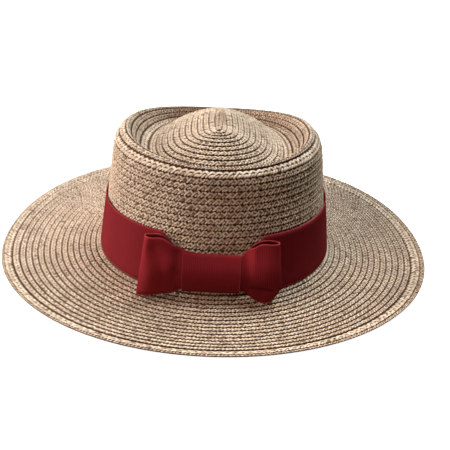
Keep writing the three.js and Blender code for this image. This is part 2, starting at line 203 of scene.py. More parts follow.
LIGHT_AIM = (0.0, 0.0, 0.05)  # where the soft boxes point, in metres
FLOOR_REACH = 6.0  # in metres

# A broad light from high behind, with its height above the horizon, turn to the right and breadth
# in degrees.
HIGH_LIGHT = {"height": 62, "turn": 30, "breadth": 40, "strength": 3.8, "colour": (0.9, 1.0, 1.0)}


# ---------------------------------------------------------------- settings


class StrawSettings(PropertyGroup):
    """Sizes and colours of the plaited braid."""

    braid_width: FloatProperty(
        name="Braid width", description="Full width of one row", default=0.0062, unit="LENGTH"
    )
    lap: FloatProperty(
        name="Lap", description="How much deeper a row's inner edge lies", default=0.001, unit="LENGTH"
    )
    core_thickness: FloatProperty(
        name="Core thickness", description="Thickness of the inner layer", default=0.0006, unit="LENGTH"
    )
    repeat: FloatProperty(
        name="Plait repeat", description="Length of one repeat of the plait", default=0.0042, unit="LENGTH"
    )
    strand_length: FloatProperty(
        name="Strand length", description="Length of straw at a crossing", default=0.0047, unit="LENGTH"
    )
    strand_width: FloatProperty(
        name="Strand width", description="Width of one straw", default=0.0019, unit="LENGTH"
    )
    strand_rise: FloatProperty(
        name="Strand rise", description="Height of a straw above the core", default=0.00042, unit="LENGTH"
    )
    slant: FloatProperty(
        name="Slant", description="Angle of a straw to its row", default=math.radians(47), subtype="ANGLE"
    )
    seed: IntProperty(name="Seed", description="Seed of the straw's unevenness", default=7)
    pale: FloatVectorProperty(
        name="Pale straw", description="Colour of the palest straws", subtype="COLOR", size=3,
        min=0, max=1, default=(0.85, 0.70, 0.55),
    )
    tan: FloatVectorProperty(
        name="Tan straw", description="Colour of the middling straws", subtype="COLOR", size=3,
        min=0, max=1, default=(0.67, 0.50, 0.36),
    )
    # Also the colour of the painted shade at the straws' edges and, on the core, between them.
    brown: FloatVectorProperty(
        name="Brown straw", description="Colour of the darkest straws", subtype="COLOR", size=3,
        min=0, max=1, default=(0.24, 0.13, 0.07),
    )
    # Painted shade where one row laps the next and along the rows' edges.
    seam: FloatVectorProperty(
        name="Seam", description="Colour between the straws", subtype="COLOR", size=3,
        min=0, max=1, default=(0.085, 0.036, 0.016),
    )


class RibbonSettings(PropertyGroup):
    """Sizes and colours of the grosgrain ribbon."""

    thickness: FloatProperty(
        name="Thickness", description="Thickness of the ribbon", default=0.0006, unit="LENGTH"
    )
    rib: FloatProperty(
        name="Rib pitch", description="Distance between two ribs", default=0.0011, unit="LENGTH"
    )
    rib_depth: FloatProperty(
        name="Rib depth", description="Height of a rib", default=0.0001, unit="LENGTH"
    )
    crimson: FloatVectorProperty(
        name="Crimson", description="Colour of the ribbon", subtype="COLOR", size=3,
        min=0, max=1, default=(0.25, 0.019, 0.026),
    )
    # Painted shade between the ribs.
    crimson_groove_shade: FloatVectorProperty(
        name="Crimson between ribs", description="Colour between the ribs", subtype="COLOR", size=3,
        min=0, max=1, default=(0.12, 0.008, 0.011),
    )
    # Lighter woven edges, partly their own colour and partly a painted highlight, and a painted highlight at
    # the folds.
    crimson_edge_and_highlight: FloatVectorProperty(
        name="Woven edge", description="Colour of the ribbon's edges and folds", subtype="COLOR", size=3,
        min=0, max=1, default=(0.42, 0.05, 0.055),
    )


class StageSettings(PropertyGroup):
    """Camera, lights and floor."""

    distance: FloatProperty(
        name="Camera distance", description="Distance from the foot's middle", default=0.47, unit="LENGTH"
    )
    elevation: FloatProperty(
        name="Camera elevation", description="Angle above the horizon", subtype="ANGLE",
        default=math.radians(24.56),
    )
    roll: FloatProperty(
        name="Camera roll", description="Turn of the camera about its own axis", subtype="ANGLE",
        default=math.radians(2.53),
    )
    lens: FloatProperty(
        name="Focal length", description="In millimetres", default=47.54, subtype="DISTANCE_CAMERA"
    )
    shift_x: FloatProperty(name="Shift right", description="Camera shift", default=0.0235)
    shift_y: FloatProperty(name="Shift up", description="Camera shift", default=0.0083)
    surround: FloatProperty(name="Surround", description="Strength of the even light all round", default=0.05)
    surround_colour: FloatVectorProperty(
        name="Surround colour", description="Colour of the even light", subtype="COLOR", size=3,
        min=0, max=1, default=(1.0, 0.58, 0.4),
    )
    floor_glow: FloatProperty(name="Floor glow", description="Light given off by the floor", default=1.0)
    floor_colour: FloatVectorProperty(
        name="Floor", description="Colour of the floor", subtype="COLOR", size=3,
        min=0, max=1, default=(0.86, 0.86, 0.86),
    )


# ---------------------------------------------------------------- smooth tables and ovals


def restrained_slopes(knots, values):
    """Slopes of a smooth curve through values that never overshoots between two of them."""
    secants = np.diff(values) / np.diff(knots)
    slopes = np.empty(len(knots))
    slopes[0], slopes[-1] = secants[0], secants[-1]
    for i in range(1, len(knots) - 1):
        before, after = secants[i - 1], secants[i]
        slopes[i] = 0.0 if before * after <= 0 else 2 * before * after / (before + after)
    return slopes


def smooth_value(knots, values, places):
    """Reads a smooth curve through values at the given places."""
    knots, values = np.asarray(knots, float), np.asarray(values, float)
    slopes = restrained_slopes(knots, values)
    i = np.clip(np.searchsorted(knots, places, side="left") - 1, 0, len(knots) - 2)
    span = knots[i + 1] - knots[i]
    t = (places - knots[i]) / span
    t2, t3 = t * t, t**3
    return (
        (2 * t3 - 3 * t2 + 1) * values[i]
        + (t3 - 2 * t2 + t) * span * slopes[i]
        + (3 * t2 - 2 * t3) * values[i + 1]
        + (t3 - t2) * span * slopes[i + 1]
    )


def oval(half_width, half_length, core_share, shares):
    """Points of an oval at a constant distance from a slim ellipse, from +X over +Y."""
    core_width = min(core_share * (half_length - half_width), WIDEST_CORE * half_width)
    core_length = core_width + half_length - half_width
    offset = half_width - core_width
    angles = np.linspace(0, 2 * np.pi, 1441)
    c, s = np.cos(angles), np.sin(angles)
    spread = np.hypot(core_width * c, core_length * s)
    x = (core_width**2 / spread + offset) * c
    y = (core_length**2 / spread + offset) * s
    lengths = np.concatenate([[0], np.cumsum(np.hypot(np.diff(x), np.diff(y)))])
    at = shares * lengths[-1]
    return np.interp(at, lengths, x), np.interp(at, lengths, y)


def ring(half_width, half_length, height, side_lift, right_lift, core_share, shares):
    """One oval of the hat's face in space."""
    x, y = oval(half_width, half_length, core_share, shares)
    angle = np.arctan2(y / half_length, x / half_width)
    lift = side_lift * np.cos(2 * angle) + right_lift * np.cos(angle)
    return np.stack([x, y, FOOT_HEIGHT + height + lift], axis=1)


def between(field, along, around):
    """Reads a grid of points that closes on itself in its second direction."""
    rows, columns = field.shape[:2]
    along = np.clip(along, 0, rows - 1.001)
    i, k = np.floor(along).astype(int), np.floor(around).astype(int)
    s, t = (along - i)[..., None], (around - k)[..., None]
    k0, k1 = k % columns, (k + 1) % columns
    low = field[i, k0] * (1 - t) + field[i, k1] * t
    high = field[i + 1, k0] * (1 - t) + field[i + 1, k1] * t
    return low * (1 - s) + high * s


def unit(vectors):
    return vectors / np.maximum(np.linalg.norm(vectors, axis=-1, keepdims=True), 1e-12)


class HatFace:
    """The hat's outer face from the dome's seam to the brim's edge, read by length and share.

    The length runs outwards from the seam along the face, averaged round the hat. The share runs
    round the hat from +X over +Y.
    """

    around = 384
    step = 0.5
    crown_rings = 640
    brim_rings = 240
    inside_crest = 60.0

    def __init__(self):
        shares = np.arange(self.around) / self.around
        crown = np.array(list(CROWN_SECTIONS.values()))
        knots = np.concatenate([[0], np.cumsum(np.hypot(np.diff(crown[:, 0]), np.diff(crown[:, 2])))])
        self.crown_rows, self.crown_knots = crown, knots
        places = np.linspace(0, knots[-1], self.crown_rings)
        rings = [self.crown_ring(place, shares) for place in places]
        brim = np.array(list(BRIM_SECTIONS.values()))
        for reach in np.linspace(0, 1, self.brim_rings)[1:]:
            height, side, right = (smooth_value(brim[:, 0], brim[:, c], reach) for c in (1, 2, 3))
            out = reach * BRIM_REACH
            rings.append(
                ring(FOOT_HALF_WIDTH + out, FOOT_HALF_LENGTH + out, height, side, right,
                     LONG_SIDE_FLATNESS, shares)
            )
        rings = np.array(rings)
        steps = np.linalg.norm(np.diff(rings, axis=0), axis=2).mean(axis=1)
        lengths = np.concatenate([[0], np.cumsum(steps)])
        self.foot = lengths[len(places) - 1]
        self.total = lengths[-1]
        even = np.arange(0, self.total + self.step, self.step)
        self.points = np.empty((len(even), self.around, 3))
        for k in range(self.around):
            for axis in range(3):
                self.points[:, k, axis] = np.interp(even, lengths, rings[:, k, axis])
        outward = np.gradient(self.points, axis=0)
        onward = np.roll(self.points, -1, axis=1) - np.roll(self.points, 1, axis=1)
        self.onward = unit(onward)
        self.normal = unit(np.cross(outward, onward))
        self.outward = np.cross(self.onward, self.normal)

    def crown_ring(self, place, shares):
        values = [smooth_value(self.crown_knots, self.crown_rows[:, c], place) for c in range(5)]
        half_width, half_length, height, side, core = values
        return ring(half_width, half_length, height, side, 0.0, core, shares)

    def length_at_height(self, height):
        """The length at which the crown's side stands so high above the foot.

        It is looked up from just inside the crest, and serves for heights below the valley.
        """
        heights = self.points[:, 0, 2] - FOOT_HEIGHT
        first = int(self.inside_crest / self.step)
        last = int(self.foot / self.step) + 1
        lengths = np.arange(first, last) * self.step
        return np.interp(-height, -heights[first:last], lengths)

    def read(self, field, length, share):
        return between(field, np.asarray(length) / self.step, np.asarray(share) * self.around)

    def frame(self, length, share):
        """Points, outward steps across the rows, onward steps along them, and normals."""
        return (
            self.read(self.points, length, share),
            unit(self.read(self.outward, length, share)),
            unit(self.read(self.onward, length, share)),
            unit(self.read(self.normal, length, share)),
        )


FACE = HatFace()


class BraidPath:
    """The spiral of the braid: how far out its outer edge lies at each turn, counted at the front.

    It starts at the back, runs forward on the right of the dome's seam, turns there and goes on
    clockwise, seen from above. It ends at the back of the brim.
    """

    def __init__(self):
        turns, edges = [-0.5, 0.0, 0.5], [BRAID_START, BRAID_START, BRAID_START + 0.6]
        turn, edge, self.first_of = 0, BRAID_START, {}
        for name, count, step in BRAID_ZONES:
            self.first_of[name] = turn
            for _ in range(count):
                turn, edge = turn + 1, edge + step
                turns.append(turn)
                edges.append(edge)
        # The last rise is spread over the turn from back to back, and one more turn lies there.
        turns[-2:] = [turns[-2] - 0.5, turns[-1] - 0.5]
        self.turns, self.edges = np.array(turns, float), np.array(edges)
        self.start, self.end = -0.5, turns[-1] + 1.0

    def edge(self, turn):
        return np.interp(turn, self.turns, self.edges, left=0.0)

    def step(self, turn):
        """How much of the braid shows beyond the turn before it."""
        return self.edge(turn) - self.edge(turn - 1)

    def share(self, turn):
        return np.mod(0.75 - turn, 1.0)


PATH = BraidPath()


# ---------------------------------------------------------------- meshes


def mesh_object(name, points, *faces, smooth=True):
    """A mesh object from points in millimetres and groups of faces of equal size."""
    mesh = bpy.data.meshes.new(name)
    points = np.asarray(points, dtype=np.float32) * MM
    groups = [np.asarray(group, dtype=np.int32) for group in faces if len(group)]
    sizes = np.concatenate([np.full(len(group), group.shape[1]) for group in groups])
    starts = np.concatenate([[0], np.cumsum(sizes)[:-1]]).astype(np.int32)
    corners = np.concatenate([group.ravel() for group in groups])
    mesh.vertices.add(len(points))
    mesh.vertices.foreach_set("co", points.ravel())
    mesh.loops.add(len(corners))
    mesh.loops.foreach_set("vertex_index", corners)
    mesh.polygons.add(len(starts))
    mesh.polygons.foreach_set("loop_start", starts)
    mesh.polygons.foreach_set("use_smooth", np.full(len(starts), smooth))
    mesh.update(calc_edges=True)
    made = bpy.data.objects.new(name, mesh)
    bpy.context.scene.collection.objects.link(made)
    return made


def uv_from(made, name, values):
    """A UV map from two values at each vertex."""
    layer = made.data.uv_layers.new(name=name)
    corner = np.empty(len(made.data.loops), dtype=np.int32)
    made.data.loops.foreach_get("vertex_index", corner)
    layer.data.foreach_set("uv", np.asarray(values, dtype=np.float32)[corner].ravel())


def finish_piece(made, slot, *nodes):
    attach(made, "root")
    if nodes:
        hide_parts(*nodes)
    return made


def tube_faces(stations, around, first=0):
    """Faces of a closed section swept through stations, with both ends closed."""
    i = np.arange(stations - 1)[:, None] * around
    k = np.arange(around)[None, :]
    a = first + i + k
    b = first + i + (k + 1) % around
    return np.stack([a, b, b + around, a + around], axis=-1).reshape(-1, 4)


# ---------------------------------------------------------------- straw braid


def row_width(settings, turns):
    """The braid's width, which is drawn out where the rows lie far apart."""
    return np.maximum(settings.braid_width / MM, PATH.step(turns) + ROW_OVERLAP)


def row_points(settings, turns, across, height):
    """Points of the braid at places across the row, 0 inner to 1 outer, and heights above it."""
    lap, rise = settings.lap / MM, settings.strand_rise / MM
    length = PATH.edge(turns) - row_width(settings, turns) * (1 - across)
    length = np.maximum(length, SEAM_EDGE * across)
    point, outward, onward, normal = FACE.frame(length, PATH.share(turns))
    point = point + normal * (height - CORE_DEPTH * rise - lap * (1 - across))[..., None]
    point[..., 2] = np.maximum(point[..., 2], FLOOR_GAP)
    tilt = math.atan2(lap, settings.braid_width / MM)
    return point, onward, normal * math.cos(tilt) - outward * math.sin(tilt)


def turn_stations(first, last, spacing):
    """Turns between two, so that neighbouring stations lie about a spacing apart."""
    fine = np.linspace(first, last, int((last - first) * 200) + 2)
    points = FACE.read(FACE.points, PATH.edge(fine), PATH.share(fine))
    lengths = np.concatenate([[0], np.cumsum(np.linalg.norm(np.diff(points, axis=0), axis=1))])
    return np.interp(np.linspace(0, lengths[-1], int(lengths[-1] / spacing) + 2), lengths, fine)


# The closed section of the braid's inner layer: place across the row and share of its thickness.
CORE_SECTION = (
    (0.0, -0.5), (0.06, 0.0), (0.5, 0.0), (0.94, 0.0),
    (1.0, -0.5), (0.94, -1.0), (0.5, -1.0), (0.06, -1.0),
)


def braid_core(name, settings, layers, first, last):
    """A closed strip under the straws, along part of the spiral, with its upper and lower finish."""
    section = np.array(CORE_SECTION)
    around = len(section)
    turns = turn_stations(first, last, CORE_SPACING)[::-1]
    grid = np.broadcast_to(turns[:, None], (len(turns), around))
    across = np.broadcast_to(section[:, 0], grid.shape)
    height = np.broadcast_to(section[:, 1] * settings.core_thickness / MM, grid.shape)
    points = row_points(settings, grid, across, height)[0]
    end = (len(turns) - 1) * around
    quads = np.array([(1, 2, 6, 7), (2, 3, 5, 6)])
    corners = np.array([(0, 1, 7), (3, 4, 5)])
    made = mesh_object(
        name,
        points.reshape(-1, 3),
        tube_faces(len(turns), around),
        np.concatenate([quads[:, ::-1], quads + end]),
        np.concatenate([corners[:, ::-1], corners + end]),
    )
    steps = np.linalg.norm(np.diff(points[:, 4], axis=0), axis=1)
    lengths = np.concatenate([[0], np.cumsum(steps)])
    along = np.broadcast_to(lengths[:, None], grid.shape)
    uv_from(made, "braid", np.stack([along, across], -1).reshape(-1, 2))
    under = np.zeros(len(made.data.polygons), dtype=np.int32)
    sides = (len(turns) - 1) * around
    under[:sides] = np.tile(np.arange(around) >= 4, len(turns) - 1)
    for layer in layers:
        made.data.materials.append(layer)
    made.data.polygons.foreach_set("material_index", under)
    return made


def straw_shape(settings, finish):
    """One visible length of straw: a flattened strip that narrows and dips at both ends."""
    length, width = settings.strand_length / MM, settings.strand_width / MM
    rise = settings.strand_rise / MM
    points = [(-length / 2, 0.0, -0.25 * rise)]
    for x, breadth, top in ((-0.28, 0.9, 0.8), (0.0, 1.0, 1.0), (0.28, 0.9, 0.8)):
        half = width / 2 * breadth
        points += [
            (x * length, -half, 0.0),
            (x * length, -half * 0.55, rise * top),
            (x * length, half * 0.55, rise * top),
            (x * length, half, 0.0),
        ]
    points.append((length / 2, 0.0, -0.25 * rise))
    faces, last = [], len(points) - 1
    for i in (0, 1):
        a = 1 + 4 * i
        faces += [(a + j, a + 4 + j, a + 5 + j, a + 1 + j) for j in range(3)]
        faces.append((a + 3, a + 7, a + 4, a))
    faces += [(0, 1 + j, 2 + j) for j in range(3)] + [(0, 4, 1)]
    faces += [(last, 10 + j, 9 + j) for j in range(3)] + [(last, 9, 12)]
    mesh = bpy.data.meshes.new("straw")
    mesh.from_pydata([tuple(c * MM for c in p) for p in points], [], faces)
    mesh.polygons.foreach_set("use_smooth", [True] * len(mesh.polygons))
    mesh.materials.append(finish)
    made = bpy.data.objects.new("straw", mesh)
    bpy.context.scene.collection.objects.link(made)
    uv_from(made, "straw", [(p[0] / length + 0.5, p[1] / width + 0.5) for p in points])
    return made


class NodeTree:
    """A short way to add and join nodes."""

    def __init__(self, tree):
        self.tree = tree

    def add(self, kind, inputs=None, **settings):
        node = self.tree.nodes.new(kind)
        for name, value in settings.items():
            setattr(node, name, value)
        for name, value in (inputs or {}).items():
            socket = node.inputs[name]
            if isinstance(value, bpy.types.NodeSocket):
                self.tree.links.new(value, socket)
            else:
                socket.default_value = value
        return node

    def link(self, source, target):
        self.tree.links.new(source, target)


# Where straws show on a row: name, place across the part that shows, slant as a share of the full
# one, place along the repeat, length and width as shares of the full ones.
STRAW_COLUMNS = (
    ("falling", 0.32, -0.8, 0.55, 0.60, 0.85),
    ("rising", 0.42, 1.0, 0.02, 0.74, 0.85),
    ("edge", 0.79, 0.85, 0.15, 0.58, 0.68),
    ("edge again", 0.77, 0.85, 0.65, 0.62, 0.68),
)
USUAL_STEP = 4.2

# How much straws differ: place along the repeat, turn and tip in radians, and their least and
# greatest length, width and height as shares.
STRAW_PLACE = 0.07
STRAW_TURN = 0.22
STRAW_TIP = 0.12
STRAW_LENGTHS = (0.93, 1.06)
STRAW_WIDTHS = (0.88, 1.08)
STRAW_HEIGHTS = (0.85, 1.15)


def plait_tree():
    """Geometry nodes that lay straws along the rows, in slanting columns."""
    tree = bpy.data.node_groups.new("Plait", "GeometryNodeTree")
    face = tree.interface
    face.new_socket("Rows", in_out="INPUT", socket_type="NodeSocketGeometry")
    for name, kind in (
        ("Straw", "NodeSocketObject"),
        ("Repeat", "NodeSocketFloat"),
        ("Slant", "NodeSocketFloat"),
        ("Seed", "NodeSocketInt"),
    ):
        face.new_socket(name, in_out="INPUT", socket_type=kind)
    face.new_socket("Plait", in_out="OUTPUT", socket_type="NodeSocketGeometry")
    nodes = NodeTree(tree)
    given = nodes.add("NodeGroupInput").outputs
    curve = nodes.add("GeometryNodeMeshToCurve", {"Mesh": given["Rows"]})
    even = nodes.add(
        "GeometryNodeResampleCurve", {"Curve": curve.outputs[0], "Length": given["Repeat"]}, mode="LENGTH"
    )

    def vector(name):
        return nodes.add(
            "GeometryNodeInputNamedAttribute", {"Name": name}, data_type="FLOAT_VECTOR"
        ).outputs[0]

    def scaled(source, scale):
        node = nodes.add("ShaderNodeVectorMath", operation="SCALE")
        nodes.link(source, node.inputs[0])
        nodes.link(scale, node.inputs["Scale"])
        return node.outputs[0]

    def times(source, factor):
        node = nodes.add("ShaderNodeMath", operation="MULTIPLY")
        nodes.link(source, node.inputs[0])
        if isinstance(factor, bpy.types.NodeSocket):
            nodes.link(factor, node.inputs[1])
        else:
            node.inputs[1].default_value = factor
        return node.outputs[0]

    def plus(first, second, kind="ShaderNodeVectorMath"):
        node = nodes.add(kind, operation="ADD")
        nodes.link(first, node.inputs[0])
        nodes.link(second, node.inputs[1])
        return node.outputs[0]

    def random(low, high, offset):
        seed = nodes.add("ShaderNodeMath", {1: offset}, operation="ADD")
        nodes.link(given["Seed"], seed.inputs[0])
        node = nodes.add("FunctionNodeRandomValue", data_type="FLOAT")
        node.inputs[2].default_value, node.inputs[3].default_value = low, high
        nodes.link(seed.outputs[0], node.inputs["Seed"])
        return node.outputs[1]

    def scalar(name):
        return nodes.add("GeometryNodeInputNamedAttribute", {"Name": name}, data_type="FLOAT").outputs[0]

    shape = nodes.add("GeometryNodeObjectInfo", {"Object": given["Straw"]})
    joined = nodes.add("GeometryNodeJoinGeometry")
    for number, (name, _, slant, phase, long, wide) in enumerate(STRAW_COLUMNS):
        along = random(phase - STRAW_PLACE, phase + STRAW_PLACE, 10 * number + 6)
        onward = scaled(vector("onward"), times(given["Repeat"], along))
        moved = nodes.add("GeometryNodeSetPosition", {"Geometry": even.outputs[0]})
        nodes.link(plus(vector(f"{name} place"), onward), moved.inputs["Offset"])
        upright = nodes.add("FunctionNodeAxesToRotation", primary_axis="Z", secondary_axis="X")
        nodes.link(vector(f"{name} up"), upright.inputs[0])
        nodes.link(vector("onward"), upright.inputs[1])
        uneven = random(-STRAW_TURN, STRAW_TURN, 10 * number)
        angle = plus(times(given["Slant"], slant), uneven, "ShaderNodeMath")
        turn = nodes.add("ShaderNodeCombineXYZ")
        nodes.link(random(-STRAW_TIP, STRAW_TIP, 10 * number + 1), turn.inputs[0])
        nodes.link(angle, turn.inputs[2])
        turned = nodes.add("FunctionNodeRotateRotation", rotation_space="LOCAL")
        nodes.link(upright.outputs[0], turned.inputs[0])
        as_rotation = nodes.add("FunctionNodeEulerToRotation", {0: turn.outputs[0]})
        nodes.link(as_rotation.outputs[0], turned.inputs[1])
        spread = scalar("spread")
        size = nodes.add("ShaderNodeCombineXYZ")
        for axis, (shares, scale) in enumerate(((STRAW_LENGTHS, long), (STRAW_WIDTHS, wide))):
            share = random(shares[0] * scale, shares[1] * scale, 10 * number + 2 + axis)
            nodes.link(times(share, spread), size.inputs[axis])
        nodes.link(random(*STRAW_HEIGHTS, 10 * number + 4), size.inputs[2])
        laid = nodes.add(
            "GeometryNodeInstanceOnPoints",
            {
                "Points": moved.outputs[0],
                "Instance": shape.outputs["Geometry"],
                "Rotation": turned.outputs[0],
                "Scale": size.outputs[0],
            },
        )
        shade = nodes.add(
            "GeometryNodeStoreNamedAttribute",
            {"Geometry": laid.outputs[0], "Name": "shade"},
            data_type="FLOAT",
            domain="INSTANCE",
        )
        nodes.link(random(0.0, 1.0, 10 * number + 5), shade.inputs["Value"])
        nodes.link(shade.outputs[0], joined.inputs[0])
    real = nodes.add("GeometryNodeRealizeInstances", {"Geometry": joined.outputs[0]})
    result = nodes.add("NodeGroupOutput")
    nodes.link(real.outputs[0], result.inputs[0])
    return tree


def grown(name, host, tree, inputs):
    """The evaluated result of a node tree on a host object, as a plain mesh object."""
    modifier = host.modifiers.new(tree.name, "NODES")
    modifier.node_group = tree
    sockets = {item.name: item.identifier for item in tree.interface.items_tree if item.in_out == "INPUT"}
    for key, value in inputs.items():
        modifier[sockets[key]] = value
    host.update_tag()
    graph = bpy.context.evaluated_depsgraph_get()
    graph.update()
    mesh = bpy.data.meshes.new_from_object(host.evaluated_get(graph))
    host.modifiers.remove(modifier)
    mesh.name = name
    made = bpy.data.objects.new(name, mesh)
    bpy.context.scene.collection.objects.link(made)
    bpy.data.objects.remove(host, do_unlink=True)
    if not mesh.polygons:
        raise RuntimeError(f"{name}: the node tree made nothing")
    return made


def row_line(settings, first, last):
    """The line along the middle of the rows, with what the straws need to know as attributes."""
    turns = turn_stations(first, last, LINE_SPACING)
    middle, onward, _ = row_points(settings, turns, np.full(len(turns), 0.5), np.zeros(len(turns)))
    mesh = bpy.data.meshes.new("row_line")
    mesh.vertices.add(len(middle))
    mesh.vertices.foreach_set("co", (middle * MM).astype(np.float32).ravel())
    mesh.edges.add(len(middle) - 1)
    pairs = np.stack([np.arange(len(middle) - 1), np.arange(1, len(middle))], axis=1)
    mesh.edges.foreach_set("vertices", pairs.astype(np.int32).ravel())
    mesh.update()
    shown = PATH.step(turns) / row_width(settings, turns)
    vectors = {"onward": onward}
    for name, across, *_ in STRAW_COLUMNS:
        place, _, up = row_points(settings, turns, 1 - (1 - across) * shown, np.zeros(len(turns)))
        vectors[f"{name} place"] = (place - middle) * MM
        vectors[f"{name} up"] = up
    for name, values in vectors.items():
        layer = mesh.attributes.new(name, "FLOAT_VECTOR", "POINT")
        layer.data.foreach_set("vector", values.astype(np.float32).ravel())
    inner, outer = (
        row_points(settings, turns, 1 - (1 - across) * shown, np.zeros(len(turns)))[0]
        for across in (0.1, 0.9)
    )
    spread = np.linalg.norm(outer - inner, axis=1) / (0.8 * USUAL_STEP)
    spread = np.clip(spread, 0.6, 2.0)
    layer = mesh.attributes.new("spread", "FLOAT", "POINT")
    layer.data.foreach_set("value", spread.astype(np.float32))
    made = bpy.data.objects.new("row_line", mesh)
    bpy.context.scene.collection.objects.link(made)
    return made


def plait(name, settings, tree, straw, first, last):
    """The straws along part of the spiral."""
    inputs = {"Straw": straw, "Repeat": settings.repeat, "Slant": settings.slant, "Seed": settings.seed}
    return grown(name, row_line(settings, first, last), tree, inputs)


# ---------------------------------------------------------------- materials


def new_material(name):
    material = bpy.data.materials.new(name)
    material.use_nodes = True
    material.node_tree.nodes.clear()
    nodes = NodeTree(material.node_tree)
    shader = nodes.add("ShaderNodeBsdfPrincipled")
    output = nodes.add("ShaderNodeOutputMaterial")
    nodes.link(shader.outputs[0], output.inputs["Surface"])
    return material, nodes, shader


def colour_ramp(nodes, source, stops):
    ramp = nodes.add("ShaderNodeValToRGB", {"Fac": source})
    elements = ramp.color_ramp.elements
    while len(elements) > 1:
        elements.remove(elements[-1])
    for i, (place, colour) in enumerate(stops):
        stop = elements[0] if i == 0 else elements.new(place)
        stop.position = place
        stop.color = (*colour, 1.0)
    return ramp.outputs["Color"]


def straw_material(settings):
    """Plaited straws: each has its own shade, with a fine grain along it, and painted shade along its two
    side edges.
    """
    material, nodes, shader = new_material("plaited straw")
    shade = nodes.add("ShaderNodeAttribute", attribute_name="shade")
    tan, pale = settings.tan, settings.pale
    shades = ((0.0, settings.brown), (0.1, tan), (0.45, tan), (0.75, pale), (1.0, pale))
    colour = colour_ramp(nodes, shade.outputs["Fac"], shades)
    place = nodes.add("ShaderNodeTexCoord")
    # Patches of the straw's own tone, differing at random.
    patch = nodes.add(
        "ShaderNodeTexNoise", {"Vector": place.outputs["Object"], "Scale": 55.0, "Detail": 2.0}
    )
    tone_and_painted_light = nodes.add(
        "ShaderNodeMapRange",
        {"Value": patch.outputs[0], "From Min": 0.3, "From Max": 0.7, "To Min": 0.9, "To Max": 1.08},
    )
    grain_place = nodes.add("ShaderNodeUVMap", uv_map="straw")
    stretched = nodes.add("ShaderNodeMapping", {"Vector": grain_place.outputs[0], "Scale": (1.5, 9.0, 1.0)})
    grain = nodes.add("ShaderNodeTexNoise", {"Vector": stretched.outputs[0], "Scale": 1.0, "Detail": 3.0})
    mixed = nodes.add("ShaderNodeVectorMath", operation="SCALE")
    nodes.link(colour, mixed.inputs[0])
    nodes.link(tone_and_painted_light.outputs[0], mixed.inputs["Scale"])
    split = nodes.add("ShaderNodeSeparateXYZ", {"Vector": grain_place.outputs[0]})
    to_side = nodes.add("ShaderNodeMath", {0: split.outputs[1], 1: 0.5}, operation="SUBTRACT")
    to_side = nodes.add("ShaderNodeMath", {0: to_side.outputs[0]}, operation="ABSOLUTE")
    # Painted shade along each straw's two side edges.
    painted_crevice_shade = colour_ramp(
        nodes, to_side.outputs[0], ((0.2, (1.0, 1.0, 1.0)), (0.34, (0.8, 0.72, 0.66)), (0.48, settings.brown))
    )
    shaded = nodes.add("ShaderNodeVectorMath", {0: mixed.outputs[0], 1: painted_crevice_shade}, operation="MULTIPLY")
    nodes.link(shaded.outputs[0], shader.inputs["Base Color"])
    bump = nodes.add(
        "ShaderNodeBump", {"Height": grain.outputs[0], "Strength": 0.35, "Distance": 0.0002}
    )
    nodes.link(bump.outputs[0], shader.inputs["Normal"])
    shader.inputs["Roughness"].default_value = 0.42
    shader.inputs["Specular IOR Level"].default_value = 0.5
    return material


def underside_material(settings):
    """The back of the braid: flat straws that meet in the middle of each row, with painted shade between the
    straws and at each row's edges.
    """
    material, nodes, shader = new_material("braid underside")
    uv = nodes.add("ShaderNodeUVMap", uv_map="braid")
    split = nodes.add("ShaderNodeSeparateXYZ", {"Vector": uv.outputs[0]})
    off_middle = nodes.add("ShaderNodeMath", {0: split.outputs[1], 1: 0.5}, operation="SUBTRACT")
    off_middle = nodes.add("ShaderNodeMath", {0: off_middle.outputs[0]}, operation="ABSOLUTE")
    slant = nodes.add(
        "ShaderNodeMath",
        {0: off_middle.outputs[0], 1: settings.braid_width / MM, 2: split.outputs[0]},
        operation="MULTIPLY_ADD",
    )
    spacing = settings.repeat / MM / 2
    place = nodes.add("ShaderNodeMath", {0: slant.outputs[0], 1: spacing}, operation="DIVIDE")
    in_straw = nodes.add("ShaderNodeMath", {0: place.outputs[0]}, operation="FRACT")
    number = nodes.add("ShaderNodeMath", {0: place.outputs[0]}, operation="FLOOR")
    pick = nodes.add("ShaderNodeTexWhiteNoise", {"W": number.outputs[0]}, noise_dimensions="1D")
    shade = colour_ramp(nodes, pick.outputs["Value"], ((0.0, settings.tan), (1.0, settings.pale)))
    # Painted shade between neighbouring straws.
    painted_crevice_shade = colour_ramp(
        nodes,
        in_straw.outputs[0],
        ((0.0, settings.brown), (0.2, (0.85, 0.8, 0.76)), (0.8, (0.85, 0.8, 0.76)), (1.0, settings.brown)),
    )
    # Painted shade at each row's edges, where the rows meet.
    edge = colour_ramp(
        nodes, off_middle.outputs[0], ((0.3, (1.0, 1.0, 1.0)), (0.42, settings.brown), (0.5, settings.seam))
    )
    both = nodes.add("ShaderNodeVectorMath", {0: shade, 1: painted_crevice_shade}, operation="MULTIPLY")
    both = nodes.add("ShaderNodeVectorMath", {0: both.outputs[0], 1: edge}, operation="MULTIPLY")
    nodes.link(both.outputs[0], shader.inputs["Base Color"])
    shader.inputs["Roughness"].default_value = 0.6
    return material


